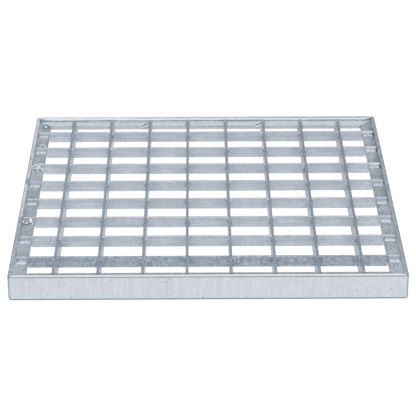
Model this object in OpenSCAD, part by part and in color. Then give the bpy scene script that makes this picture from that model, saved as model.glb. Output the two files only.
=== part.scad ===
// Steel grating panel: load bars standing on edge, shallower cross bars pressed through
// them flush with the top, and a mitred frame of rolled T-section lying on its side.
// The panel lies flat with the middle of its underside at the origin. The load bars run
// along Y and the cross bars along X. The tread surface faces +Z.

/* [Panel] */
// Outside width of the panel, along the cross bars
panel_width = 300; // [200:1:1000]
// Outside length of the panel, along the load bars
panel_length = 300; // [200:1:1000]
// Radius of the upright corners of the frame
corner_radius = 3; // [1:0.5:6]

/* [Grid] */
// Centre distance of the load bars
load_bar_pitch = 33.333; // [30:0.001:50]
// Thickness of a load bar
load_bar_thickness = 2; // [1.5:0.5:5]
// Height of a load bar
load_bar_height = 20; // [15:1:30]
// Centre distance of the cross bars
cross_bar_pitch = 33.333; // [30:0.001:50]
// Thickness of a cross bar
cross_bar_thickness = 2; // [1.5:0.5:4]
// Height of a cross bar
cross_bar_height = 9; // [6:0.5:14]

/* [Frame section] */
// Thickness of the upright flange
flange_thickness = 3; // [2:0.5:5]
// How far the web reaches in past the flange
web_reach = 10; // [5:0.5:12]
// Thickness of the web
web_thickness = 3.2; // [2:0.2:5]
// Depth of the web's upper face below the top of the panel
web_drop = 3.5; // [2:0.5:5]
// Radius of the section's rolled edges
edge_radius = 0.8; // [0.3:0.1:0.9]
// Radius of the hollow corners between the web and the flange
root_radius = 1; // [0.5:0.1:1.5]

/* [Hidden] */
$fn = 48;
zinc_bars = [0.72, 0.75, 0.79];
zinc_frame = [0.78, 0.81, 0.84];

// The tread surface is level: load bars, cross bars and frame all end at this height.
top_z = load_bar_height;
web_top_z = top_z - web_drop;
web_bottom_z = web_top_z - web_thickness;
rail_depth = flange_thickness + web_reach;
// The bays nearest the frame may be up to a quarter of a pitch wider or narrower.
load_bar_count = round(panel_width / load_bar_pitch) - 1;
cross_bar_count = round(panel_length / cross_bar_pitch) - 1;
// Cutting tools reach this far past what they cut.
past = 1;

// Rectangle from the corner [x0, y0] to the corner [x1, y1] with rounded corners.
module rounded_rectangle(x0, y0, x1, y1, r) {
    translate([x0 + r, y0]) square([x1 - x0 - 2 * r, y1 - y0]);
    translate([x0, y0 + r]) square([x1 - x0, y1 - y0 - 2 * r]);
    for (x = [x0 + r, x1 - r], y = [y0 + r, y1 - r]) translate([x, y]) circle(r);
}

// Hollow corner that fills the angle at [x, y]. It opens towards +X and, for side = 1,
// towards +Y, or for side = -1 towards -Y.
module root_fillet(x, y, side, r) {
    difference() {
        translate([x, side > 0 ? y : y - r]) square(r);
        translate([x + r, y + side * r]) circle(r);
    }
}

// Cross-section of a frame bar: X runs inwards from its outer face and Y runs upwards.
module rail_section() {
    rounded_rectangle(0, 0, flange_thickness, top_z, edge_radius);
    rounded_rectangle(flange_thickness - 2 * edge_radius, web_bottom_z, rail_depth, web_top_z, edge_radius);
    root_fillet(flange_thickness, web_top_z, 1, root_radius);
    root_fillet(flange_thickness, web_bottom_z, -1, root_radius);
}

// Plan outline of the whole panel, as a block taller than the frame.
module panel_block() {
    translate([-panel_width / 2, -panel_length / 2, -past]) linear_extrude(top_z + 2 * past)
        rounded_rectangle(0, 0, panel_width, panel_length, corner_radius);
}

// Frame bar of the given length along X with both ends mitred at 45 degrees. Its outer
// face looks towards -Y and lies at Y = -offset.
module rail(length, offset) {
    translate([0, -offset, 0]) intersection() {
        translate([-length / 2, 0, 0]) rotate([90, 0, 90]) linear_extrude(length) rail_section();
        translate([0, 0, -past]) linear_extrude(top_z + 2 * past) polygon([
            [-length / 2, 0], [length / 2, 0],
            [length / 2 - rail_depth, rail_depth], [-length / 2 + rail_depth, rail_depth]
        ]);
    }
}

// Frame bar turned to its side of the panel, with the panel's corners rounded off.
module placed_rail(angle, length, offset) {
    color(zinc_frame) intersection() {
        rotate([0, 0, angle]) rail(length, offset);
        panel_block();
    }
}

module frame_front() { placed_rail(0, panel_width, panel_length / 2); }
module frame_back() { placed_rail(180, panel_width, panel_length / 2); }
module frame_left() { placed_rail(270, panel_length, panel_width / 2); }
module frame_right() { placed_rail(90, panel_length, panel_width / 2); }

// Upright bar along X in a panel that measures span outside. Its full height ends at the
// inner edge of the frame's web. Above the web a tongue rests on it and runs on to the
// flange, with its lower corner cut off to clear the hollow corner of the frame.
module notched_bar(span, thickness, height) {
    full_length = span - 2 * rail_depth;
    tongue_length = span - 2 * flange_thickness;
    translate([-full_length / 2, -thickness / 2, top_z - height]) cube([full_length, thickness, height]);
    translate([0, thickness / 2, web_top_z]) rotate([90, 0, 0]) linear_extrude(thickness) polygon([
        [-tongue_length / 2, root_radius], [-tongue_length / 2 + root_radius, 0],
        [tongue_length / 2 - root_radius, 0], [tongue_length / 2, root_radius],
        [tongue_length / 2, web_drop], [-tongue_length / 2, web_drop]
    ]);
}

// Places the children count times at the given pitch along Y, evenly about the middle.
module spread(count, pitch) {
    for (i = [0 : count - 1]) translate([0, (i - (count - 1) / 2) * pitch, 0]) children();
}

module load_bars() {
    rotate([0, 0, 90]) spread(load_bar_count, load_bar_pitch)
        notched_bar(panel_length, load_bar_thickness, load_bar_height);
}

module cross_bars() {
    spread(cross_bar_count, cross_bar_pitch) notched_bar(panel_width, cross_bar_thickness, cross_bar_height);
}

// The pressed joints make one piece of all the bars.
module bar_grid() {
    color(zinc_bars) union() {
        load_bars();
        cross_bars();
    }
}

bar_grid();
frame_front();
frame_back();
frame_left();
frame_right();
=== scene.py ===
# %% [markdown]
# # A galvanised steel grating panel
#
# The real panel is a press-locked grating. Flat load bars stand on edge and run from front
# to back. Shallower cross bars are pressed through slots in them until their tops are level.
# A frame of rolled T-section, lying on its side, is welded round the ends of the bars, and
# the finished panel is dipped in molten zinc. The solids of that panel are loaded here as a
# fixed frame. This script gives them their real surface: rounded zinc-coated edges, zinc
# gathered in the hollow corners, weld beads and a dull, faintly mottled metal.

# %% Load the fixed frame
import itertools
import math

import bmesh
import bpy
import numpy as np
from mathutils import Euler, Matrix, Vector


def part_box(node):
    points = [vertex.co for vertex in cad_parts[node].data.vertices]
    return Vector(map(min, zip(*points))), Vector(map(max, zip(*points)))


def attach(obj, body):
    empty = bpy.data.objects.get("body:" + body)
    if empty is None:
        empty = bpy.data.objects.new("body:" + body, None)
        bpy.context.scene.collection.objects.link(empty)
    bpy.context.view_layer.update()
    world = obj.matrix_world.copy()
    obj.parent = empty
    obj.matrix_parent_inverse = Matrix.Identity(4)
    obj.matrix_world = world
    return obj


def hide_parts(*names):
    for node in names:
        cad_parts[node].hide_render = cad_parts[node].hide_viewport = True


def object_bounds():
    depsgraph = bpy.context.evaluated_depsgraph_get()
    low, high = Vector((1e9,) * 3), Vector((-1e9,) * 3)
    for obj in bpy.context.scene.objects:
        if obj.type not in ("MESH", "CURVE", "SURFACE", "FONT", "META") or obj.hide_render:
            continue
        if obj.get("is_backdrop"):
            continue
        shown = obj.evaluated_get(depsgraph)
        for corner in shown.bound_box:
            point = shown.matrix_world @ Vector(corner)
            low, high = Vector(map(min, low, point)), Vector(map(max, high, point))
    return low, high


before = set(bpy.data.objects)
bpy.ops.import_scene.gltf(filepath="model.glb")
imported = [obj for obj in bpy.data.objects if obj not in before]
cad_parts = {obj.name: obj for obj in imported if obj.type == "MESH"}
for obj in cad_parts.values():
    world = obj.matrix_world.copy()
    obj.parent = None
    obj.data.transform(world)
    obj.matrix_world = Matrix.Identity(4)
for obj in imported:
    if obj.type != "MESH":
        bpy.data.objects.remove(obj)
cad_low, cad_high = (list(corner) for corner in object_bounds())
print("solids loaded:", sorted(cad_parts))
print("box of the solids in metres:", cad_low, cad_high)

# %% [markdown]
# ## Sizes
#
# Every outside size is read from the loaded solids, so the new surfaces can't drift away from
# them. Only the sizes that no bounding box shows, such as the thickness of the web, are
# written here, in metres.

# %% Sizes of the panel
MM = 0.001
half_x, half_y, top = cad_high
rail_low, rail_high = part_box("frame_front")
grid_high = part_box("bar_grid")[1]
rail_depth = rail_high.y - rail_low.y
flange = half_x - grid_high.x
web_top = top - 3.5 * MM
web_bottom = web_top - 3.2 * MM
corner_radius = 3 * MM  # of the frame's upright outer corners
half_clear = half_x - rail_depth  # from the panel's middle to the toe of a web
print(f"frame bars {rail_depth / MM:.1f} mm deep, with a flange of {flange / MM:.1f} mm")

# %% Sizes of the bars
BARS = 8
pitch = 2 * half_x / (BARS + 1)
places = (np.arange(BARS) - (BARS - 1) / 2) * pitch
# the load bars were not quite straight in the press, and sit a little to the right
load_places = places + np.array([0.3, 0.45, 0.7, 0.7, 0.8, 0.8, 0.4, 0.25]) * MM
# and the first and the last cross bar a little to the front
cross_places = places - np.array([0.7, 0, 0, 0, 0, 0, 0, 0.5]) * MM
bar_thickness = 2 * MM
half_bar = bar_thickness / 2
cross_height = 9 * MM
bar_edge = 0.5 * MM  # how far a bar's end is rounded
print("bar centre lines in mm:", np.round(places / MM, 1))

# %% [markdown]
# ## The camera
#
# A long lens stands about a metre and a half away and looks down on the panel at a quarter of
# a right angle, slightly from the left. It is made first, so that each new piece can be looked
# at as soon as it is there. A camera looks along its own -Z axis, so it is tilted up from
# straight down and then turned.

# %% Make the camera
LENS_MM = 159.4
SENSOR_MM = 36
look_down = math.radians(26.21)
turn_right = math.radians(0.405)
roll = math.radians(-0.075)
camera_place = Vector((-0.0087, -1.3590, 0.6719))

camera_data = bpy.data.cameras.new("camera")
camera_data.lens = LENS_MM
camera_data.sensor_width = SENSOR_MM
camera = bpy.data.objects.new("camera", camera_data)
turned = Euler((math.pi / 2 - look_down, 0, -turn_right)).to_matrix()
turned = turned @ Matrix.Rotation(roll, 3, "Z")
camera.matrix_world = Matrix.Translation(camera_place) @ turned.to_4x4()
bpy.context.scene.collection.objects.link(camera)
bpy.context.scene.camera = camera
print("camera stands at", tuple(round(c, 3) for c in camera_place))

# %% [markdown]
# ## Shader maths as plain expressions
#
# A material is a graph of nodes, and arithmetic in such a graph is hard to read as nodes. The
# class `Signal` wraps one output socket, and its operators add the Math nodes, so a mask can
# be written as `1 - speck`. Every other node comes from `Shader.add`, which sets the node's
# settings first and then its sockets.

# %% A socket with operators
class Signal:
    """One shader output. Arithmetic on it adds the Math node of that name."""

    def __init__(self, shader, socket):
        self.shader, self.socket = shader, socket

    def math(self, operation, *values):
        """The Math node of an operation, with the values in its sockets from the first on."""
        return self.shader.add("Math", {"operation": operation}, dict(enumerate(values)))

    def __add__(self, other): return self.math("ADD", self, other)
    def __radd__(self, other): return self.math("ADD", other, self)
    def __sub__(self, other): return self.math("SUBTRACT", self, other)
    def __rsub__(self, other): return self.math("SUBTRACT", other, self)
    def __mul__(self, other): return self.math("MULTIPLY", self, other)
    def __rmul__(self, other): return self.math("MULTIPLY", other, self)

    def step(self, low, high):
        """0 below low, 1 above high and a smooth ramp between, also with low above high."""
        sockets = {"Value": self, "From Min": low, "From Max": high}
        return self.shader.add("MapRange", {"interpolation_type": "SMOOTHSTEP"}, sockets)


# %% A material as a node tree
class Shader:
    """A new material. The nodes that feed its surface are added one call at a time."""

    def __init__(self, name):
        self.material = bpy.data.materials.new(name)
        self.material.use_nodes = True
        self.tree = self.material.node_tree
        self.surface = self.tree.nodes["Principled BSDF"]

    def put(self, socket, value):
        """Links the socket to a signal, or sets it to a plain value."""
        if isinstance(value, Signal):
            self.tree.links.new(value.socket, socket)
        else:
            socket.default_value = value

    def add(self, kind, settings=None, sockets=None, output=0):
        """Adds a node, sets its settings, then its sockets by name or number."""
        node = self.tree.nodes.new("ShaderNode" + kind)
        for key, value in (settings or {}).items():
            setattr(node, key, value)
        for key, value in (sockets or {}).items():
            self.put(node.inputs[key], value)
        return Signal(self, node.outputs[output])

    def place(self):
        """Where a point lies on the panel, in metres."""
        return self.add("TexCoord", output="Object")

    def stretched(self, scale):
        """The place with each axis scaled on its own, for patterns longer one way."""
        return self.add("Mapping", sockets={"Vector": self.place(), "Scale": scale})

    def noise(self, vector, scale, detail, roughness=0.5):
        """Cloudy noise from 0 to 1, with scale clouds to a unit of the vector."""
        sockets = {"Vector": vector, "Scale": scale, "Detail": detail, "Roughness": roughness}
        return self.add("TexNoise", sockets=sockets)

    def mix(self, factor, a, b):
        """Colour a where factor is 0 and colour b where it is 1."""
        return self.add("Mix", {"data_type": "RGBA"}, {0: factor, 6: a, 7: b}, output=2)


# %% [markdown]
# ## Hot-dip zinc
#
# Zinc straight from the bath is bright, and it dulls to a pale grey within weeks. It stays
# metallic but scatters light, so its roughness is high. Four things keep it from looking like
# grey plastic: cloudy mottling a centimetre across, faint streaks where the zinc ran off or
# the steel was rolled, a fine grain with a few dark specks of ash, and an orange-peel relief.
# A painted texture could hold all that, but it would need every small bead unwrapped. Noise
# in the space of the panel needs nothing and is as fine on a bead as on a bar.
#
# Three values stored on the shapes steer it from place to place. `relief` is 1 on a sharp
# edge, where the coat is thin and a painted shade darkens it, and -1 in a hollow, where the
# coat is thick and a painted highlight lightens it.
# `tone` is below 0 on tarnished metal and where shade is painted on, above 0 where a highlight is
# painted on as a pale matt skin, and 2 where the zinc drained last and stayed as bright as it
# came from the bath. `outside` is 1 on the frame's outer faces, where streaks run down instead
# of lengthwise.
#
# One function makes every zinc finish. Most of its arguments are strengths. `foot` holds the
# strength of a painted shade low on upright steel and the heights in millimetres between which
# it fades in, `drained` says how much smoother the last drops are, and the last argument is the
# colour of the painted highlight.

# %% Patterns and tints in the zinc
# how many clouds, grains, patches or cells there are to a metre
CLOUDS, GRAINS, TARNISH_PATCHES, ORANGE_PEEL = 90, 560, 330, 420
ASH_CELLS, ASH_GROUPS = 130, 75
RUNS_DOWN = (300, 300, 22)  # runs to a metre, close together across and long downwards
# a noise seldom leaves the middle of its range, so its two colours lie further apart
NOISE_GAIN = 1.6
# tarnish and painted shade share the first colour
TARNISH_AND_SHADE, ASH = (0.24, 0.31, 0.38, 1), (0.30, 0.35, 0.41, 1)
# dark painted shade for sharp edges, and a painted highlight for hollows
PAINTED_EDGE_SHADE, PAINTED_HOLLOW_HIGHLIGHT = (0.18, 0.25, 0.335, 1), (0.84, 0.88, 0.93, 1)
FOOT_SHADE, FRESH = (0.20, 0.26, 0.33, 1), (0.97, 0.98, 0.99, 1)
print("mottling about", round(1 / CLOUDS / MM), "mm across")


# %% The zinc material
def zinc(name, colour, spread=0.16, streak_scale=(40, 40, 40), streak=0.5, cloud=0.9,
         grain=1.0, roughness=0.45, metallic=0.75, peel=0.25, ash=1.0, runs=0.0,
         foot=(0, 9, 1), drained=0.2, highlight_tint=(0.945, 0.97, 1.0)):
    """A colour with a spread of light and dark. Streaks follow the axis with the small scale."""
    s = Shader(name)
    place = s.place()
    relief = s.add("Attribute", {"attribute_name": "relief"}, output="Fac")
    tone = s.add("Attribute", {"attribute_name": "tone"}, output="Fac")
    outside = s.add("Attribute", {"attribute_name": "outside"}, output="Fac")

    clouds = s.noise(place, CLOUDS, 3.0, 0.6) - 0.5
    streaks = s.noise(s.stretched(streak_scale), 1.0, 3.0, 0.6) - 0.5
    grains = s.noise(place, GRAINS, 3.0, 0.7) - 0.5
    fall = s.noise(s.stretched(RUNS_DOWN), 1.0, 2.0, 0.6) - 0.5
    light = 0.5 + cloud * clouds + streak * streaks * (1 - outside)
    light = light + grain * grains + runs * fall * outside

    cells = s.add("TexVoronoi", sockets={"Vector": place, "Scale": ASH_CELLS}, output="Distance")
    speck = cells.step(0.16, 0.07) * s.noise(place, ASH_GROUPS, 0.0).step(0.56, 0.62) * ash
    # painted shade on sharp edges, and a painted highlight in hollows
    edge = relief.step(0.05, 1.0)
    hollow = relief.step(-0.15, -1.0)
    # painted highlight where the tone is above 0, and tarnish with painted shade below 0
    painted_highlight = tone.step(0.0, 1.0)
    clear = tone.step(1.2, 2.0)
    patches = s.noise(place, TARNISH_PATCHES, 4.0, 0.85).step(0.40, 0.58)
    tarnish_and_shade = tone.step(0.0, -1.0) * (0.2 + 0.9 * patches)

    dark = tuple(c * (1 - spread * NOISE_GAIN) for c in colour) + (1,)
    bright = tuple(min(c * (1 + spread * NOISE_GAIN), 1) for c in colour) + (1,)
    height = s.add("SeparateXYZ", sockets={0: place}, output=2)
    shade, upper, lower = foot
    base = s.mix(light, dark, bright)
    base = s.mix(tarnish_and_shade * 0.85, base, TARNISH_AND_SHADE)
    # painted highlight as a pale matt skin
    base = s.mix(painted_highlight * 0.95, base, highlight_tint + (1,))
    base = s.mix(hollow * 0.6, base, PAINTED_HOLLOW_HIGHLIGHT)
    base = s.mix(speck * 0.45, base, ASH)
    # painted shade low on upright steel, where it meets the floor
    base = s.mix(height.step(upper * MM, lower * MM) * shade, base, FOOT_SHADE)
    base = s.mix(edge * 0.85, base, PAINTED_EDGE_SHADE)
    base = s.mix(clear, base, FRESH)
    rough = roughness + 0.2 * clouds * (1 - clear) - 0.10 * hollow - drained * clear
    s.put(s.surface.inputs["Base Color"], base)
    s.put(s.surface.inputs["Roughness"], rough)
    s.put(s.surface.inputs["Metallic"], metallic * (1 - 0.85 * painted_highlight) * (1 - clear) + clear)

    dimples = (s.noise(place, ORANGE_PEEL, 2.0, 0.5) + 0.8 * streaks) * (1 - clear)
    bump_sockets = {"Strength": peel, "Distance": 0.15 * MM, "Height": dimples}
    s.put(s.surface.inputs["Normal"], s.add("Bump", sockets=bump_sockets))
    return s.material


# %% One finish for each kind of piece
ALONG_X, ALONG_Y = (20, 900, 900), (900, 20, 900)
CROSS_STREAKS = (25, 1100, 1100)
# the copies differ in colour partly as painted light and shade: the load bars are darker, the
# front rail lighter and the back rail bluer than the rest
cross_zinc = zinc("zinc_cross_bars", (0.67, 0.725, 0.795), streak_scale=CROSS_STREAKS,
                  streak=1.3, grain=1.1, peel=0.25)
load_zinc = zinc("zinc_load_bars", (0.555, 0.63, 0.71), streak_scale=ALONG_Y, grain=2.2,
                 peel=0.35, foot=(0.45, 9, 1))
front_zinc = zinc("zinc_front_rail", (0.72, 0.765, 0.815), spread=0.10, streak_scale=ALONG_X,
                  runs=0.9, grain=1.5, foot=(0.9, 1.7, 1.1))
back_zinc = zinc("zinc_back_rail", (0.685, 0.76, 0.865), spread=0.20, streak_scale=ALONG_X,
                 streak=3.2, metallic=0.45, runs=1.2, grain=3.8, peel=0.5, drained=0.33)
side_zinc = zinc("zinc_side_rails", (0.68, 0.748, 0.82), streak_scale=ALONG_Y, streak=0.8,
                 cloud=1.7, grain=4.0, runs=1.2, peel=0.7, highlight_tint=(0.89, 0.955, 1.0))
bead_zinc = zinc("zinc_beads", (0.67, 0.72, 0.78), spread=0.14, grain=2.5, roughness=0.42,
                 metallic=0.7, peel=0.6, ash=0.3)
# near black, for painted shade in the weld pits
pit_shade = zinc("painted_pit_shade", (0.13, 0.15, 0.17), metallic=0.2, roughness=0.6)
print("materials:", [m.name for m in bpy.data.materials])

# %% [markdown]
# ## Surfaces from arrays
#
# Every new piece is a section carried through a row of stations. Its points are worked out as
# one array, `rings[station, point]`, and neighbouring points become four-sided faces. Several
# such skins can be joined in one mesh, which keeps the many small beads of the panel in a few
# objects. A Bevel modifier on the plain solids could round their edges too, but all of them
# alike. Here every edge has a radius of its own that can waver along its length.

# %% A skin through rings
def skin(rings, relief, tone, outside=0.0):
    """Closed tube through rings (stations, points, 3) with a flat face on each end.

    Point j of station i is joined to point j + 1 and to both of their places at station i + 1.
    """
    stations, points = rings.shape[:2]
    i, j = np.meshgrid(np.arange(stations - 1), np.arange(points), indexing="ij")
    k = (j + 1) % points
    corners = [i * points + j, i * points + k, (i + 1) * points + k, (i + 1) * points + j]
    quads = np.stack(corners, -1).reshape(-1, 4).tolist()
    last = (stations - 1) * points
    ends = [list(range(points)), list(range(last, last + points))]
    stored = {"relief": relief, "tone": tone, "outside": outside}
    for key, value in stored.items():
        stored[key] = np.broadcast_to(value, (stations, points)).ravel()
    return rings.reshape(-1, 3), quads + ends, stored


# %% A piece made of skins
MERGE_DISTANCE = 1e-7
SHARP_FROM = math.radians(50)


def piece(name, skins, material, stands_for):
    """Joins skins in one mesh in its place, and hides the solid that it stands for."""
    faces, start = [], 0
    for points, skin_faces, _ in skins:
        faces += [[start + v for v in face] for face in skin_faces]
        start += len(points)
    mesh = bpy.data.meshes.new(name)
    mesh.from_pydata(np.concatenate([s[0] for s in skins]).tolist(), [], faces)
    for key in ("relief", "tone", "outside"):
        values = np.concatenate([s[2][key] for s in skins]).astype(np.float32)
        mesh.attributes.new(key, "FLOAT", "POINT").data.foreach_set("value", values)

    # points that coincide are merged, and then all faces are made to point outwards
    shape = bmesh.new()
    shape.from_mesh(mesh)
    bmesh.ops.remove_doubles(shape, verts=shape.verts, dist=MERGE_DISTANCE)
    bmesh.ops.recalc_face_normals(shape, faces=shape.faces)
    shape.to_mesh(mesh)
    shape.free()
    mesh.shade_smooth()
    mesh.set_sharp_from_angle(angle=SHARP_FROM)
    mesh.materials.append(material)

    thing = bpy.data.objects.new(name, mesh)
    bpy.context.scene.collection.objects.link(thing)
    level = thing.modifiers.new("level_faces", "WEIGHTED_NORMAL")
    level.keep_sharp = True  # broad faces look flat, and small ones take up the bend
    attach(thing, "root")
    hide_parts(*stands_for)
    return thing


# %% [markdown]
# Zinc never lies perfectly even. A sum of a few sine waves in random directions gives a smooth,
# repeatable unevenness that can be read at any point of a surface.

# %% Smooth unevenness
WAVES = 7
USUAL_LENGTH = 1.7  # of a vector of three normal random numbers
WAVE_GAIN = 1.6  # brings the mean of the waves back to about -1 to 1


def unevenness(points, size, seed):
    """Value from -1 to 1 at each point: the mean of sines with a wavelength of about size."""
    random = np.random.default_rng(seed)
    directions = random.normal(size=(WAVES, 3)) * (2 * math.pi / size / USUAL_LENGTH)
    phases = random.uniform(0, 2 * math.pi, WAVES)
    return np.sin(points @ directions.T + phases).mean(-1) * WAVE_GAIN


# %% Points on a circle
def arc(centre, radius, start, end, steps):
    """Points on a circle from one angle to another, in degrees, as an array (steps + 1, 2)."""
    angle = np.radians(np.linspace(start, end, steps + 1))
    return np.array(centre) + radius * np.stack([np.cos(angle), np.sin(angle)], -1)


# %% [markdown]
# ## The frame
#
# Each frame bar is a rolled T-section lying on its side. The flange is the panel's upright
# outer face, and the web is a ledge that carries the ends of the bars. The section is drawn
# once, as straight faces joined by arcs, and carried along each side. At the corners the
# stations turn through 45 degrees round the centre of the rounded corner, and points deeper
# than its radius meet in a plain mitre. That closes the frame with four separate bars that
# touch along the diagonals.

# %% Corners of the section
ARC_STEPS = 5
ALONG_ARC = np.linspace(0, 1, ARC_STEPS + 1)
SWELL = np.sin(math.pi * ALONG_ARC) ** 0.6  # 0 at both ends of an arc and 1 in its middle
END_SHARE = 0.04
# depth and height of the sharp corner, side its centre lies on, radius, how much the radius
# wavers, and the arc from and to in degrees
RAIL_CORNERS = [
    (0, 0, 1, 1, 0.95 * MM, 0.10, 270, 180),  # outer foot
    (0, top, 1, -1, 1.0 * MM, 0.10, 180, 90),  # outer top edge
    (flange, top, -1, -1, 0.8 * MM, 0.15, 90, 0),  # inner top edge
    (flange, web_top, 1, 1, 0.8 * MM, 0.25, 180, 270),  # hollow corner over the web
    (9.8 * MM, web_top, 0, 0, 0, 0, 90, 90),  # no corner, but a line where the tone can change
    (rail_depth, web_top, -1, -1, 0.8 * MM, 0.15, 90, 0),  # top edge of the web's toe
    (rail_depth, web_bottom, -1, 1, 0.5 * MM, 0.15, 0, -90),  # its bottom edge
    (flange, web_bottom, 1, -1, 1.0 * MM, 0.15, 90, 180),  # hollow corner under the web
    (flange, 0, -1, 1, 0.8 * MM, 0.15, 0, -90),  # inner foot
]


def points_of(corner):
    """The points of a section that belong to its corner of that number."""
    return slice(corner * (ARC_STEPS + 1), (corner + 1) * (ARC_STEPS + 1))


INNER_TOP, HOLLOW = points_of(2), points_of(3)
print("the section of a frame bar has", len(RAIL_CORNERS) * (ARC_STEPS + 1), "points")

# %% What differs from side to side
# radii in millimetres away from the mitres, from the outer top edge to the toe's top edge
WORN_CORNERS = slice(1, 6)
SIDE_RADII = {"front": (1.0, 0.5, 0.8, 0, 0.6), "back": (0.6, 2.3, 1.0, 0, 1.0),
              "left": (1.0, 0.8, 0.8, 0, 0.8), "right": (1.0, 0.8, 0.8, 0, 0.8)}
# how far the flange's inner top edge is worn from its arc to a plain bevel, and how far it
# stands in as a lip of zinc
BEVEL = {"front": 0, "back": 0.7, "left": 0, "right": 0}
LIP = {"front": 0.45 * MM, "back": 0, "left": 0, "right": 0}
# quarter turns from the front to each side, anticlockwise from above
SIDES = {"front": 0, "right": 1, "back": 2, "left": 3}
print("sides:", list(SIDES))


# %% Rounded corners that waver
def per_corner(*profiles):
    """Values for the points of a section, one number or one profile for each of its arcs."""
    return np.concatenate([np.broadcast_to(profile, ARC_STEPS + 1) for profile in profiles])


def corner_arcs(corners, waver, radii=None):
    """Points (stations, points, 2) of a section whose radii follow waver (stations, corners).

    A radius is r * (1 + amount * waver), and its arc is round the corner + r * side.
    """
    arcs = []
    for n, (x, z, side_x, side_z, radius, amount, start, end) in enumerate(corners):
        r = radius if radii is None else radii[:, n, None, None]
        r = r * (1 + amount * waver[:, n, None, None])
        centre = np.array((x, z)) + r * np.array((side_x, side_z))
        arcs.append(centre + r * arc((0, 0), 1, start, end, ARC_STEPS))
    return np.concatenate(arcs, 1)


def away_from_ends(along):
    """1 along a bar and a ramp to 0 over its last END_SHARE at both ends, as a column."""
    reach = np.abs(along).max()
    return np.clip((reach - np.abs(along)) / (END_SHARE * reach), 0, 1)[:, None]


def wavering(along, count, size, seed):
    """Smooth values (stations, count) along a bar, fading to 0 at both of its ends."""
    line = np.stack([along, 0 * along, 0 * along], -1)
    columns = [unevenness(line, size, seed + n) for n in range(count)]
    return np.clip(np.stack(columns, -1), -1, 1) * away_from_ends(along)


# %% Carry the section along each side
STRAIGHT_STATIONS, TURN_STATIONS = 220, 6
ALONG_TURN = np.linspace(0, 1, TURN_STATIONS + 1)[1:]
RAIL_WAVE = 16 * MM


def rail_rings(side, half_length, half_width, seed):
    """Rings of a frame bar as it would face -Y: a straight run, and half a corner at each end.

    A point at depth d lies at Y = d - half_width. In the turns it follows a circle of radius
    corner_radius - d, or stays on the mitre where d is more than corner_radius.
    """
    t = np.linspace(-1, 1, STRAIGHT_STATIONS)
    clear_of_ends = away_from_ends(t)
    at_ends = np.array([corner[4] for corner in RAIL_CORNERS])
    radii = at_ends.copy()
    radii[WORN_CORNERS] = np.array(SIDE_RADII[side]) * MM
    radii = at_ends + (radii - at_ends) * clear_of_ends
    waver = wavering(t * half_length, len(RAIL_CORNERS), RAIL_WAVE, seed)
    straight = corner_arcs(RAIL_CORNERS, waver, radii)
    edge = straight[:, INNER_TOP]
    chord = edge[:, :1] + (edge[:, -1:] - edge[:, :1]) * ALONG_ARC[:, None]
    edge += BEVEL[side] * clear_of_ends[..., None] * (chord - edge)
    edge[..., 0] += LIP[side] * clear_of_ends

    depth = straight[..., 0]
    straight_x = t[:, None] * (half_length - np.maximum(depth, corner_radius))
    straight_y = depth - half_width
    end = depth[:1]
    angle = np.radians(np.linspace(0, 45, TURN_STATIONS + 1))[1:, None]
    reach = np.maximum(corner_radius - end, 0)
    turn_x = half_length - np.maximum(end, corner_radius) + reach * np.sin(angle)
    turn_y = np.maximum(end, corner_radius) - half_width - reach * np.cos(angle)
    turn_height = [straight[:1, :, 1]] * TURN_STATIONS
    x = np.concatenate([-turn_x[::-1], straight_x, turn_x])
    y = np.concatenate([turn_y[::-1], straight_y, turn_y])
    height = np.concatenate(turn_height + [straight[..., 1]] + turn_height)
    return np.stack([x, y, height], -1)


def turned_about_z(points, quarter_turns):
    """The points turned anticlockwise about Z by quarter turns, seen from above."""
    c, s = [(1, 0), (0, 1), (-1, 0), (0, -1)][quarter_turns]
    x, y, z = np.moveaxis(points, -1, 0)
    return np.stack([c * x - s * y, s * x + c * y, z], -1)


# %% [markdown]
# The coat is not the same all round the section, so each side has three rows of values, given
# arc by arc from the outer foot over the top to the inner foot. A number holds for a whole
# arc, and six numbers run along it. `RELIEF` sets the painted shade on edges, and `TONE` the
# painted shade and painted highlights. The third row adds a painted highlight, a pale matt
# skin, to the tone, and it comes and goes along a side: on top of the flange at the front,
# along its inner edge at the back and along the rear half of the left side. Below the web the
# zinc drained off last and stayed bright.

# %% Relief, tone and pale skin of each side
OUTSIDE = per_corner(1, 1, 0, 0, 0, 0, 0, 0, 0)
SHADED_FOOT = np.array([0, 0.7, 1, 1, 1, 0])  # painted shade along an outer foot
# painted shade on the rails' edges: outer feet, outer top edges and inner edges
RELIEF = {
    "front": per_corner(SHADED_FOOT, (0, 1, 1, 0.3, 0, 0), 0, 0.2, 0, 0.2 * SWELL, 0.6 * SWELL, 0, 0),
    "back": per_corner(SHADED_FOOT, 0, 0, (0.65, 0.8, 0.7, 0.45, 0.2, 0.1), 0,
                       (0, 0.3, 0.6, 0.5, 0.1, 0), 0.35 * SWELL, 0, 0),
    "left": per_corner(SHADED_FOOT, (0, 0.8, 1, 0.8, 0.3, 0), 0, 0, 0, 0.3 * SWELL, 0.6 * SWELL, 0, 0),
    "right": per_corner(SHADED_FOOT, (0, 0.9, 1, 1, 0.6, 0.2), (0.1, 0, 0, 0, 0, 0), 0, 0,
                        0.3 * SWELL, 0.6 * SWELL, 0, 0),
}
# positive tones paint highlights on the webs, and the front's -0.5 is painted shade on its web
TONE = {
    "front": per_corner(0, 0, 0, -0.5, -0.5, -0.5, 0, 2, 2),
    "back": per_corner(0, 0, 0, (0, 0, 0, 0.1, 0.25, 0.4), 0.7,
                       (0.4, 0.1, 0, 0.1, 0.4, 0.8), 0.7, 2, 2),
    "left": per_corner(0, 0, (0, 0, 0.1, 0.2, 0.3, 0.3), 0.1, 0, 0, 0, 2, 2),
    "right": per_corner(0, (0, 0, 0, 0, 0, 0.1), 0.15, 0.1, 0, 0, 0, 2, 2),
}
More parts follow.
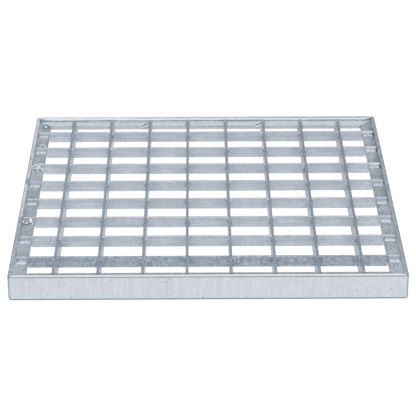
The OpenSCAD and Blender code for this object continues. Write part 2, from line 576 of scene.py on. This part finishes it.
# painted highlight as a pale skin on the flange's top and inner edge
PAINTED_HIGHLIGHT = {
    "front": per_corner(0, (0, 0, 0.2, 0.9, 1.1, 1.1), (1.1, 1.1, 1.1, 1, 1, 0.4),
                        0, 0, 0, 0, 0, 0),
    "back": per_corner(0, (0, 0, 0.6, 1, 1, 1), (0.9, 0, 0.2, 0.9, 1, 0), 0, 0, 0, 0, 0, 0),
    "left": per_corner(0, (0, 0, 0, 0.4, 0.7, 0.9), (1, 1, 1, 1, 0.6, 0), 0, 0, 0, 0, 0, 0),
    "right": per_corner(0, 0, 0, 0, 0, 0, 0, 0, 0),
}
# painted shade (relief) on the back flange's inner top edge near its left and near its right end
BACK_EDGE = np.array([(0.2, 0.7, 0.1, 0, 0, 0.5), (0.1, 0.8, 0.8, 0, 0, 0.4)])
RAIL_ZINC = {"front": front_zinc, "right": side_zinc, "back": back_zinc, "left": side_zinc}
print("values round a section:", len(OUTSIDE))

# %% How the coat changes along a side
LEFT_HIGHLIGHT_FROM, LEFT_SPOT = -52 * MM, 16.7 * MM
RIGHT_SHADE_FROM, RIGHT_SHADE_FADE = -40 * MM, 20 * MM
FADE = 4 * MM


def highlight_share(side, rings):
    """How strongly a highlight is painted on the flange along a side, from 0 to 1.

    It is mottled everywhere. On the left it rises from LEFT_HIGHLIGHT_FROM to the rear, less a
    round dark spot, exp(-(distance / FADE) ** 2), at LEFT_SPOT.
    """
    mottle = unevenness(rings, 6 * MM, 5)
    if side != "left":
        return 0.9 + 0.2 * mottle
    rise = np.clip((rings[..., 1] - LEFT_HIGHLIGHT_FROM) / FADE, 0.25, 1)
    spot = 1.5 * np.exp(-((rings[..., 1] - LEFT_SPOT) / FADE) ** 2)
    return rise * (0.7 + 0.35 * mottle - spot)


def turn_relief(side, stations):
    """Painted shade where the outer face turns the corner, most at the very edge."""
    turn = np.full(stations, -1.0)
    edge = 0.75 * ALONG_TURN ** 2 if side in ("front", "back") else 0.75
    turn[-TURN_STATIONS:] = edge
    turn[:TURN_STATIONS] = turn[:-TURN_STATIONS - 1:-1]
    return np.where(OUTSIDE > 0, turn[:, None], -1)


def relief_along(side, rings):
    """The side's relief at every point, with the back edge's blended from left to right."""
    relief = RELIEF[side] * np.ones((len(rings), 1))
    if side == "back":
        to_the_right = np.clip(0.5 + rings[:, :1, 0] / half_x, 0, 1)
        relief[:, INNER_TOP] = BACK_EDGE[0] + (BACK_EDGE[1] - BACK_EDGE[0]) * to_the_right
    return np.maximum(relief, turn_relief(side, len(rings)))


def tone_along(side, rings):
    """The side's tone, with painted shade in the rear half of the right ledge's corner."""
    # the painted highlight is added to the tone
    tone = TONE[side] + PAINTED_HIGHLIGHT[side] * highlight_share(side, rings)
    if side == "right":
        dull = np.clip((rings[:, :1, 1] - RIGHT_SHADE_FROM) / RIGHT_SHADE_FADE, 0, 1)
        tone[:, HOLLOW] -= 0.75 * dull
    return tone


# %% Make the four frame bars
for side, quarter_turns in SIDES.items():
    half_sizes = (half_x, half_y) if side in ("front", "back") else (half_y, half_x)
    seed = 40 + 10 * quarter_turns  # each corner of the section takes the next seed
    rings = turned_about_z(rail_rings(side, *half_sizes, seed), quarter_turns)
    surface = skin(rings, relief_along(side, rings), tone_along(side, rings), OUTSIDE)
    rail = piece(f"{side}_rail", [surface], RAIL_ZINC[side],
                 [f"frame_{side}"])
    print(rail.name, "has", len(rail.data.polygons), "faces")

# %% [markdown]
# ## The bars
#
# A bar is a flat section with softly rounded edges, carried along its length. Its underside
# steps up at each end: the full height stops at the toe of the frame's web, and a tongue runs
# on over the web. The underside is given as a height for each station, so the whole bar with
# both notches is one sweep. A Boolean could cut the notches, but it would leave them sharp.
# The last stations shrink the section a little to round the end.

# %% Stations of a bar
BODY_STATIONS, TONGUE_STATIONS = 40, 7


def bar_stations(half_length, bottom):
    """Rows of (distance along, height of the underside, draw-in of the section).

    The underside is flat, turns up round a small foot, climbs the toe of the web, turns in
    with a hollow root and runs on flat at the web's height. Both turns are quarter circles.
    """
    foot, root = 0.5 * MM, 0.6 * MM
    turn = np.radians(np.linspace(0, 90, 5))
    wall = half_clear + 0.02 * MM
    rounded = half_length - bar_edge

    def rows(along, under, drawn=0.0):
        return np.stack(np.broadcast_arrays(along, under, drawn), -1)

    half = np.concatenate([
        rows(np.linspace(0, half_clear - foot, BODY_STATIONS), bottom),
        rows(half_clear - foot + foot * np.sin(turn), bottom + foot * (1 - np.cos(turn)))[1:],
        rows(wall + root * (1 - np.cos(turn)), web_top - root + root * np.sin(turn)),
        rows(np.linspace(wall + root, rounded, TONGUE_STATIONS + 1), web_top)[1:],
        rows(rounded + bar_edge * np.sin(turn), web_top, bar_edge * (1 - np.cos(turn)))[1:],
    ])
    return np.concatenate([half[:0:-1] * [-1, 1, 1], half])


# %% The section of a bar
# the same columns as for the frame, with the offset from the bar's middle as the depth, and
# with heights that count from its underside or from its top
BAR_CORNERS = [
    (-half_bar, 0, 1, 1, 0.3 * MM, 0.2, 270, 180), (-half_bar, 0, 1, -1, 0.6 * MM, 0.2, 180, 90),
    (half_bar, 0, -1, -1, 0.6 * MM, 0.2, 90, 0), (half_bar, 0, -1, 1, 0.3 * MM, 0.2, 0, -90),
]
# painted shade along the lower edges of a bar, and faintly along its top edges
BAR_RELIEF = per_corner(SHADED_FOOT, 0.15 * SWELL, 0.15 * SWELL, SHADED_FOOT[::-1])
UPPER = per_corner(0, 1, 1, 0)
BAR_WAVE = 9 * MM
MOST_DRAWN = 0.45 * MM


def bar_skin(half_length, bottom, place, seed):
    """Rings of a bar along X at Y = place. A drawn-in section is narrower and lower."""
    along, under, drawn = np.moveaxis(bar_stations(half_length, bottom), -1, 0)
    section = corner_arcs(BAR_CORNERS, wavering(along, len(BAR_CORNERS), BAR_WAVE, seed))
    across, rise = np.moveaxis(section, -1, 0)
    drawn = np.minimum(drawn, MOST_DRAWN)[:, None]
    y = place + across * (1 - drawn / half_bar)
    z = np.where(UPPER, top + rise - drawn, under[:, None] + rise + drawn * 0.5)
    return np.stack([np.broadcast_to(along[:, None], z.shape), y, z], -1)


# %% Lengths and tones of the bars
TONGUE_GAP = 1 * MM  # between the flange and the end of a cross bar
LOAD_BARS_SHORTER = 2.2 * MM  # than the cross bars, at each end
half_tongue = half_x - flange - TONGUE_GAP
# tone of each load bar from the left and of each cross bar from the back, and of its tongues.
# The load bars grow darker to the right. The front cross bar's dark tone is painted shade, and
# the cross bars' small pale tones and those of the tongues are painted highlights
LOAD_TONE = (-0.1, -0.15, -0.15, -0.15, -0.15, -0.25, -0.4, -0.45)
CROSS_TONE = (0.05, 0.08, 0.1, 0.12, 0.12, 0.1, 0, -0.64)
LEFT_TONE = (0.5, 0.4, 0.5, 0.4, 0.3, 0.4, 0.35, 0.35)
RIGHT_TONE = (0.8, 0.9, 0.9, 0.4, 0.4, 0.4, 0.35, 0.3)
FRONT_TONE, BACK_TONE = 0, 0.3
print(f"cross bars {2 * half_tongue / MM:.1f} mm long from tongue to tongue")


def near_bars(along, size):
    """1 where a bar crosses, fading as exp(-gap / size) beside it."""
    gap = np.abs(along[..., None] - load_places).min(-1) - half_bar
    return np.exp(-np.maximum(gap, 0) / size)


def tongue_tone(along, tone, left, right):
    """The bar's tone between the frame bars, and the left or the right tongue's beyond them."""
    share = np.clip((np.abs(along) - half_clear) / (1 * MM), 0, 1)
    return tone * (1 - share) + np.where(along < 0, left, right) * share


def crossing_shade(rings, seed):
    """Uneven painted shade on a cross bar, strongest where a load bar crosses it."""
    uneven = 0.4 + 0.6 * unevenness(rings, 2.5 * MM, seed)
    return 0.7 * (uneven * near_bars(rings[..., 0], 1.2 * MM))


# %% Make the eight load bars
# A bar is made along X and turned. Each of its corners takes a seed of its own, so the next
# bar's seed is as many higher as a bar has corners.
for number, (place, bar_tone) in enumerate(zip(load_places, LOAD_TONE), 1):
    seed = 100 + len(BAR_CORNERS) * number
    rings = bar_skin(half_tongue - LOAD_BARS_SHORTER, 0, -place, seed)
    tone = tongue_tone(rings[..., 0], bar_tone, FRONT_TONE, BACK_TONE)
    piece(f"load_bar_{number}", [skin(turned_about_z(rings, 1), BAR_RELIEF, tone)], load_zinc,
          ["bar_grid"])

# %% Make the eight cross bars
tones = zip(CROSS_TONE, LEFT_TONE, RIGHT_TONE)
for number, (place, (bar_tone, left, right)) in enumerate(zip(cross_places[::-1], tones), 1):
    seed = 200 + len(BAR_CORNERS) * number
    rings = bar_skin(half_tongue, top - cross_height, place, seed)
    bar_tone = bar_tone - crossing_shade(rings, number)
    tone = tongue_tone(rings[..., 0], bar_tone, left, right)
    piece(f"cross_bar_{number}", [skin(rings, BAR_RELIEF, tone)], cross_zinc,
          ["bar_grid"])

# %% [markdown]
# ## Zinc in the hollow corners
#
# Molten zinc creeps into every inside corner and sets there. Where two bars cross it is a
# small hollow fillet up the corner, and beside each tongue on the ledge it is a fuller bead.
# Both are a section with two flat sides and a curved third one, carried along a line. The
# flat sides are sunk a little into the steel, so that no gap shows.

# %% A hollow fillet
SUNK = 0.06 * MM
FILLET_STATIONS, FILLET_STEPS = 3, 5


def fillet(start, end, side_a, side_b, radius):
    """Fillet along start-end between two directions, hollow by a quarter circle of the radius."""
    start, end, a, b = (np.array(v, float) for v in (start, end, side_a, side_b))
    hollow = 1 + arc((0, 0), 1, 270, 180, FILLET_STEPS)
    ring_a = np.concatenate([[0, 1], hollow[:, 0], [0]])
    ring_b = np.concatenate([[0, 0], hollow[:, 1], [1]])
    off_a = np.where(ring_a > 0, ring_a * radius, -SUNK)[:, None]
    off_b = np.where(ring_b > 0, ring_b * radius, -SUNK)[:, None]
    along = np.linspace(0, 1, FILLET_STATIONS)[:, None, None]
    rings = start + (end - start) * along + off_a * a + off_b * b
    return skin(rings, 0.0, 0.3)


# %% A weld bead
def bead(start, end, side_a, side_b, reaches, rises, rough, seed):
    """Bead along start-end with the section (reach * cos t, rise * sin t), t from 0 to 90 degrees.

    A highlight is painted near its edge on side_a, and it takes the ledge's own tone higher up.
    """
    start, end, a, b = (np.array(v, float) for v in (start, end, side_a, side_b))
    t = np.linspace(0, 90, 8)
    cos, sin = np.cos(np.radians(t)), np.sin(np.radians(t))
    reaches, rises = (np.asarray(v, float)[:, None] for v in (reaches, rises))
    sunk = 0 * reaches - SUNK
    off_a = np.concatenate([reaches, reaches * cos, sunk, sunk], 1)
    off_b = np.concatenate([sunk, rises * sin, rises, sunk], 1)
    along = np.linspace(0, 1, len(reaches))[:, None, None]
    rings = start + (end - start) * along + off_a[..., None] * a + off_b[..., None] * b
    swell = rough * unevenness(rings, 1.6 * MM, seed)
    swell[:, [0, -2, -1]] = 0
    rings = rings + swell[..., None] * (a + b) * (off_a > 0)[..., None]
    tone = np.concatenate([[1], np.interp(t, [0, 25, 45, 90], [1.2, 1.2, 0.1, 0]), [0, 0]])
    return skin(rings, 0.0, tone)


# %% Beads along the tongues
# reach and rise of the bead in front of each tongue in millimetres, from the back to the front
LEFT_BEADS = ((1.8, 0.8), (2.4, 0.8), (1.8, 1.2), (2.9, 0.9),
              (2.6, 0.9), (2.6, 0.8), (3.7, 0.9), (4.2, 1.0))
RIGHT_BEADS = ((1.9, 1.0), (1.5, 1.4), (1.5, 1.4), (2.9, 0.8),
               (3.1, 0.9), (2.9, 0.8), (2.5, 0.9), (3.2, 0.9))
FRONT_BEADS, BACK_BEADS = ((0.7, 0.7),) * BARS, ((1.3, 0.9),) * BARS
BEAD_STATIONS = 24
BEAD_ROUGH = 0.12 * MM
ROUNDED_ENDS = np.minimum(1, 5 * np.sin(np.linspace(0.12, math.pi - 0.12, BEAD_STATIONS)))


def bead_wave(seed):
    """A bead's width at each station: 1 + 14 percent of a random step, smoothed by threes."""
    steps = np.random.default_rng(seed).normal(size=BEAD_STATIONS + 2)
    return 1 + 0.14 * np.convolve(steps, [0.3, 0.4, 0.3], "valid")


def tongue_beads(side, sizes, centres):
    """Both beads of each tongue on the ledge of one side, made as at the front and then turned."""
    skins = []
    for number, (place, (reach, rise)) in enumerate(zip(centres, sizes)):
        for direction in (-1, 1):
            wave = bead_wave(100 * SIDES[side] + 10 * number + direction + 1)
            x = place + direction * half_bar
            start = (x, -half_y + flange + TONGUE_GAP + 0.1 * MM, web_top)
            end = (x, -half_y + rail_depth - 0.3 * MM, web_top)
            reaches = reach * MM * wave * ROUNDED_ENDS
            rises = rise * MM * np.sqrt(wave) * ROUNDED_ENDS
            points, faces, stored = bead(start, end, (direction, 0, 0), (0, 0, 1), reaches, rises,
                                         BEAD_ROUGH, number)
            skins.append((turned_about_z(points, SIDES[side]), faces, stored))
    return skins


ledge_skins = tongue_beads("front", FRONT_BEADS, load_places)
ledge_skins += tongue_beads("back", BACK_BEADS, -load_places)
ledge_skins += tongue_beads("left", LEFT_BEADS, -cross_places[::-1])
ledge_skins += tongue_beads("right", RIGHT_BEADS[::-1], cross_places)
ledge = piece("ledge_beads", ledge_skins, bead_zinc, ["bar_grid"])
print(ledge.name, "has", len(ledge.data.polygons), "faces")

# %% A lump of zinc
LUMP_ROWS, LUMP_COLUMNS = 8, 12


def lump(centre, radii, seed, rough=0.15, tone=0.3, relief=0.0):
    """Ellipsoid centre + radii * n * (1 + rough * unevenness(n)), with n on the unit sphere.

    It is cut off just below the tops of the bars, so that nothing stands above them.
    """
    polar = np.linspace(0, math.pi, LUMP_ROWS)[:, None]
    around = np.linspace(0, 2 * math.pi, LUMP_COLUMNS, endpoint=False)
    n = np.stack([np.sin(polar) * np.cos(around), np.sin(polar) * np.sin(around),
                  np.cos(polar) + 0 * around], -1)
    swollen = 1 + rough * unevenness(n, 1.2, seed)
    points = np.array(centre) + np.array(radii) * n * swollen[..., None]
    points[..., 2] = np.minimum(points[..., 2], top - 0.03 * MM)
    return skin(points, relief, tone)


# %% Fillets and small lumps where the bars cross
# chance of a lump in a corner, the least and the most of its width, its height, how deep it
# lies and how far from the corner, all in millimetres, and then its tone and relief
CROSSING_LUMPS = (
    (0.6, (0.5, 0.5, 0.9, 0.1), (1.0, 0.9, 2.5, 1.4), 2, 0),
    (0.7, (0.4, 1.2, 1.6, 0.0), (0.75, 2.2, 6.5, 0.6), -1, 0.3),
)


def crossing_zinc(x, y, side_x, side_y, random):
    """The fillet and the lumps in one of the four corners of a crossing."""
    corner = (x + side_x * half_bar, y + side_y * half_bar)
    radius = random.uniform(0.35, 0.6) * MM
    foot = (*corner, top - cross_height + 0.3 * MM)
    head = (*corner, top - bar_edge)
    skins = [fillet(foot, head, (side_x, 0, 0), (0, side_y, 0), radius)]
    for chance, least, most, tone, relief in CROSSING_LUMPS:
        if random.random() < chance:
            wide, tall, down, away = random.uniform(least, most) * MM
            radii = (wide, 0.5 * wide, min(tall, 0.8 * down))
            middle = (corner[0] + side_x * away, corner[1], top - down)
            seed = int(random.integers(999))
            skins.append(lump(middle, radii, seed, tone=tone, relief=relief))
    return skins


random = np.random.default_rng(7)
crossing_skins = []
for x, y, side_x, side_y in itertools.product(load_places, cross_places, (-1, 1), (-1, 1)):
    crossing_skins += crossing_zinc(x, y, side_x, side_y, random)
crossings = piece("crossing_zinc", crossing_skins, bead_zinc, ["bar_grid"])
print(crossings.name, "has", len(crossings.data.polygons), "faces")

# %% [markdown]
# ## Weld spots
#
# The welder tacked some tongues to the ledge with a small blob each. The zinc has run over
# them and left bright lumps with dark pits between. Three tongues at the back right were
# burnt at their ends instead and have a rough, pitted face. A blob is a heap of uneven
# ellipsoids, scattered in a box from a fixed seed. A weld's rim is a ring of lumps, and a seam
# is a row of them. Sculpting would give freer shapes, but a heap can be moved, thinned or
# made brighter by changing one number.

# %% Heaps, rings and rows of lumps
WELD_ROUGH = 0.12


def heap(low, high, count, sizes, seed, tone):
    """Lumps with radii between the two sizes, with centres scattered from low to high."""
    random = np.random.default_rng(seed)
    lumps = []
    for _ in range(count):
        centre = random.uniform(low, high)
        radii = random.uniform(*sizes) * random.uniform((0.9, 0.8, 0.6), (1.4, 1.1, 0.9))
        radii[2] = min(radii[2], top - 0.1 * MM - centre[2])
        lumps.append(lump(centre, radii, int(random.integers(9999)), WELD_ROUGH, tone))
    return lumps


def lumps_at(middles, size, vary, seed, tone):
    """One flat lump at each of the middles, with a size in millimetres that varies by a share."""
    random = np.random.default_rng(seed)
    lumps = []
    for middle in middles:
        wide = size * MM * random.uniform(1 - vary, 1 + vary)
        radii = (wide, wide, 0.6 * wide)
        lumps.append(lump(middle, radii, int(random.integers(9999)), WELD_ROUGH, tone,
                          relief=float(tone < 0)))
    return lumps


def ring(centre, radii, count, size, seed, tone):
    """Lumps round an ellipse on the ledge: centre + (a * cos t, b * sin t), in millimetres."""
    t = np.linspace(0, 2 * math.pi, count, endpoint=False)
    ellipse = np.stack([radii[0] * np.cos(t), radii[1] * np.sin(t), 0 * t], -1) * MM
    return lumps_at(centre + ellipse, size, 0.3, seed, tone)


def row(start, end, count, size, seed, tone):
    """Lumps in a row: start * (1 - share) + end * share, with share from 0 to 1."""
    share = np.linspace(0, 1, count)[:, None]
    return lumps_at(np.array(start) * (1 - share) + np.array(end) * share, size, 0.2, seed, tone)


# %% Places on the ledge
def on_ledge(side, bar, inward, forward, height):
    """Point on the left or right ledge beside a cross bar, which is counted from the back.

    In millimetres, inward counts from the flange, forward from the bar's front face, and
    height from the ledge.
    """
    y = cross_places[::-1][bar - 1] - half_bar - forward * MM
    x = half_x - flange - inward * MM
    return np.array((-x if side == "left" else x, y, web_top + height * MM))


def ledge_heap(side, bar, inward, forward, height, count, sizes, seed, tone):
    """Heap in a box on a ledge, with its three ranges and the lumps' radii in millimetres."""
    a = on_ledge(side, bar, inward[0], forward[0], height[0])
    b = on_ledge(side, bar, inward[1], forward[1], height[1])
    return heap(np.minimum(a, b), np.maximum(a, b), count, [s * MM for s in sizes], seed, tone)


# %% Welds on the left ledge
# Each heap has its side and bar, its ranges inward, forward and up, and then the number of
# lumps, the least and the most of their radii, the seed and the tone.
# the third tongue from the back: its body, its white core, and spatter to the left and right
blobs = ledge_heap("left", 3, (3.6, 6.6), (0.8, 4.4), (0.2, 2.8), 22, (0.9, 1.3), 31, 1.4)
blobs += ledge_heap("left", 3, (4.2, 6.4), (1.4, 3.6), (2.0, 2.8), 8, (1.0, 1.4), 28, 2)
blobs += ledge_heap("left", 3, (-0.4, 3.0), (0.6, 3.4), (0.2, 3.0), 18, (0.5, 0.8), 32, 1.7)
blobs += ledge_heap("left", 3, (7.0, 10.4), (1.4, 5.6), (0.0, 1.8), 18, (0.5, 0.9), 33, 1.8)
# the sixth: a bright blob, a rim and a little spatter
blobs += ledge_heap("left", 6, (6.0, 8.0), (0.8, 2.4), (0.8, 2.4), 8, (1.0, 1.4), 34, 2)
blobs += ring(on_ledge("left", 6, 3.0, 2.0, 1.0), (2.4, 2.6), 14, 0.7, 35, 1.8)
blobs += ledge_heap("left", 6, (8.2, 9.8), (2.0, 5.5), (-0.2, 0.3), 6, (0.6, 0.9), 36, 0.4)
# the eighth: a rim and a little spatter
blobs += ring(on_ledge("left", 8, 2.6, 0.8, 0.9), (2.4, 2.6), 11, 0.6, 37, 1.4)
blobs += ledge_heap("left", 8, (8.0, 9.8), (2.0, 4.5), (0, 0.6), 6, (0.5, 0.9), 38, 0.8)
# old rims behind the second and the first, the first one dull with a bright drop in it
blobs += ring(on_ledge("left", 2, 5.7, -11.0, 0.0), (2.6, 4.4), 18, 0.6, 39, 0.9)
blobs += ring(on_ledge("left", 1, 6.0, -20.4, 0.0), (2.3, 4.2), 18, 0.6, 30, -0.45)
blobs += ledge_heap("left", 1, (5.4, 6.8), (-21.0, -19.4), (0.2, 0.4), 4, (1.0, 1.4), 29, 2)
print("lumps on the left ledge:", len(blobs))

# %% Burnt tongues on the right ledge
BURNT = (1, 2, 3)
for bar in BURNT:  # the tongue's face, and then the drip line at its foot
    blobs += ledge_heap("right", bar, (2.0, 9.4), (0.0, 0.7), (0.6, 3.0),
                        46, (0.3, 0.6), 40 + bar, 1.5)
    blobs += ledge_heap("right", bar, (2.0, 9.4), (1.2, 2.0), (0.1, 0.7),
                        16, (0.3, 0.7), 50 + bar, 2)
print("lumps with the right ledge:", len(blobs))

# %% [markdown]
# Sparks of molten metal froze on the front cross bar beside three of the load bars. At the
# back, two load bars are tacked to the toe of the ledge from the side. Both are small enough
# for the same heaps and rows to show them.

# %% Spatter round three crossings of the front cross bar
# number of the load bar from the left, reach on each side in millimetres, lumps and seed
SPATTER = ((0, 2.2, 14, 71), (2, 3.4, 30, 72), (4, 6.5, 24, 73))
for bar, reach, count, seed in SPATTER:
    for direction in (-1, 1):
        face = cross_places[0] - half_bar
        middle = load_places[bar] + direction * (bar_thickness + reach * MM) / 2
        low = (middle - reach / 2 * MM, face - 0.1 * MM, top - 5 * MM)
        high = (middle + reach / 2 * MM, face + 0.1 * MM, top - 0.5 * MM)
        share = 0.25 if bar == 4 and direction < 0 else 1  # little to the left of the last
        bright, dull = int(count * share), int(count * share / 3)
        blobs += heap(low, high, bright, (0.25 * MM, 0.5 * MM), seed + 10 * direction, 1.7)
        blobs += heap(low, high, dull, (0.3 * MM, 0.6 * MM), seed + 9 * direction, -1)
print("lumps with the spatter:", len(blobs))

# %% Tacks and overrun zinc
# a tack holds each of two load bars to the back ledge, and the edge above it is burnt
for x, seed in ((load_places[2] - 1.6 * MM, 1), (load_places[5] - 1.4 * MM, 2)):
    toe = np.array((x, half_y - rail_depth, web_top))
    tack = [toe + np.array(v) * MM for v in ((-4.2, -0.3, -0.8), (0, 1.2, 0.3))]
    burn = [toe + np.array(v) * MM for v in ((-4.6, 1.8, 0), (0, 5, 0))]
    blobs += row(*tack, 6, 1.0, seed, 2)
    blobs += row(*burn, 7, 0.7, 5 + seed, -1)
# zinc that ran over the mitres of the front corners
for side, count, seed in ((-1, 9, 61), (1, 5, 62)):
    near = (side * (half_x - 1.5 * MM), -half_y + 1.6 * MM, top - 0.55 * MM)
    far = (side * (half_x - 15 * MM), -half_y + flange + 0.1 * MM, top - 0.6 * MM)
    blobs += row(near, far, count, 0.6, seed, 2)
welds = piece("weld_blobs", blobs, bead_zinc, ["bar_grid"])
print(welds.name, "has", len(welds.data.polygons), "faces")

# %% Dark lumps as painted shade in the pits between the lumps
# painted shade as dark lumps: a deep one at the end of each burnt tongue, and shallow ones in
# the welds on the left
DEEP_PIT, PIT = (0.6 * MM, 1.0 * MM, 1.8 * MM), (0.8 * MM, 0.7 * MM, 0.5 * MM)
pits = [lump(on_ledge("right", bar, 1.0, 0.8, 1.4), DEEP_PIT, 50 + bar) for bar in BURNT]
for bar, inward, forward, height in ((3, 7.8, 1.2, 2.4), (6, 2.2, 2.4, 1.3),
                                     (6, 5.0, 2.4, 1.9), (8, 2.6, 1.2, 0.9)):
    pits.append(lump(on_ledge("left", bar, inward, forward, height), PIT, 60 + bar))
pitted = piece("weld_pit_shade", pits, pit_shade, ["bar_grid"])
print(pitted.name, "has", len(pitted.data.polygons), "faces")

# %% [markdown]
# ## The floor and the light
#
# The panel lies on a plain white floor under soft light from all round. What the camera sees
# of the floor is nearly all plain white, and a share of its real shading is kept, so that the
# panel still throws a faint shadow. The white is in the floor's own material, because more
# light would bleach the zinc as well.

# %% Floor
FLOOR_REACH = 6.0
CLEARANCE = 0.05 * MM  # the floor lies this far below the panel's feet
PLAIN_WHITE, PLAIN_SHARE = 1.08, 0.93


def white_floor():
    """Square of 2 * FLOOR_REACH that the camera and reflections see as nearly plain white."""
    r = FLOOR_REACH
    mesh = bpy.data.meshes.new("floor")
    mesh.from_pydata([(-r, -r, 0), (r, -r, 0), (r, r, 0), (-r, r, 0)], [], [(0, 1, 2, 3)])
    floor = bpy.data.objects.new("floor", mesh)
    floor.location.z = -CLEARANCE
    bpy.context.scene.collection.objects.link(floor)
    s = Shader("floor_white")
    s.tree.nodes.remove(s.surface)
    rays = ("Is Camera Ray", "Is Glossy Ray", "Is Transmission Ray")
    seen = sum(s.add("LightPath", output=ray) for ray in rays)
    shaded = s.add("BsdfDiffuse", sockets={"Color": (0.9, 0.9, 0.9, 1)})
    plain = s.add("Emission", sockets={"Color": (1, 1, 1, 1), "Strength": PLAIN_WHITE})
    both = s.add("MixShader", sockets={0: seen * PLAIN_SHARE, 1: shaded, 2: plain})
    s.put(s.tree.nodes["Material Output"].inputs["Surface"], both)
    mesh.materials.append(s.material)
    return floor


floor = white_floor()
floor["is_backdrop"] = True
print("floor at", round(floor.location.z / MM, 2), "mm")

# %% World and lamp
WORLD_COLOUR, WORLD_STRENGTH = (0.95, 0.98, 1.0, 1), 0.36
LAMP_PLACE, LAMP_SIZE, LAMP_POWER = (0, -0.35, 1.25), 1.7, 11.8


def studio_world():
    """Even light from all round."""
    world = bpy.data.worlds.new("studio")
    bpy.context.scene.world = world
    world.use_nodes = True
    lit = world.node_tree.nodes["Background"]
    lit.inputs["Color"].default_value = WORLD_COLOUR
    lit.inputs["Strength"].default_value = WORLD_STRENGTH


def softbox(name, place, size, power):
    """Square lamp at place that looks at the middle of the panel."""
    data = bpy.data.lights.new(name, "AREA")
    data.size = size
    data.energy = power
    lamp = bpy.data.objects.new(name, data)
    lamp.location = place
    to_the_middle = Vector((0, 0, 0)) - Vector(place)
    lamp.rotation_euler = to_the_middle.to_track_quat("-Z", "Y").to_euler()
    bpy.context.scene.collection.objects.link(lamp)


studio_world()
softbox("overhead_softbox", LAMP_PLACE, LAMP_SIZE, LAMP_POWER)

# %% [markdown]
# ## Finish
#
# The visible surfaces must stay inside the box of the solids. Both boxes are written down so
# that they can be compared.

# %% Print the box of the dressed panel and finish
bpy.context.scene.view_settings.view_transform = "Standard"
low, high = (list(corner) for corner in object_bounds())
print("box of the dressed panel:", low, high)
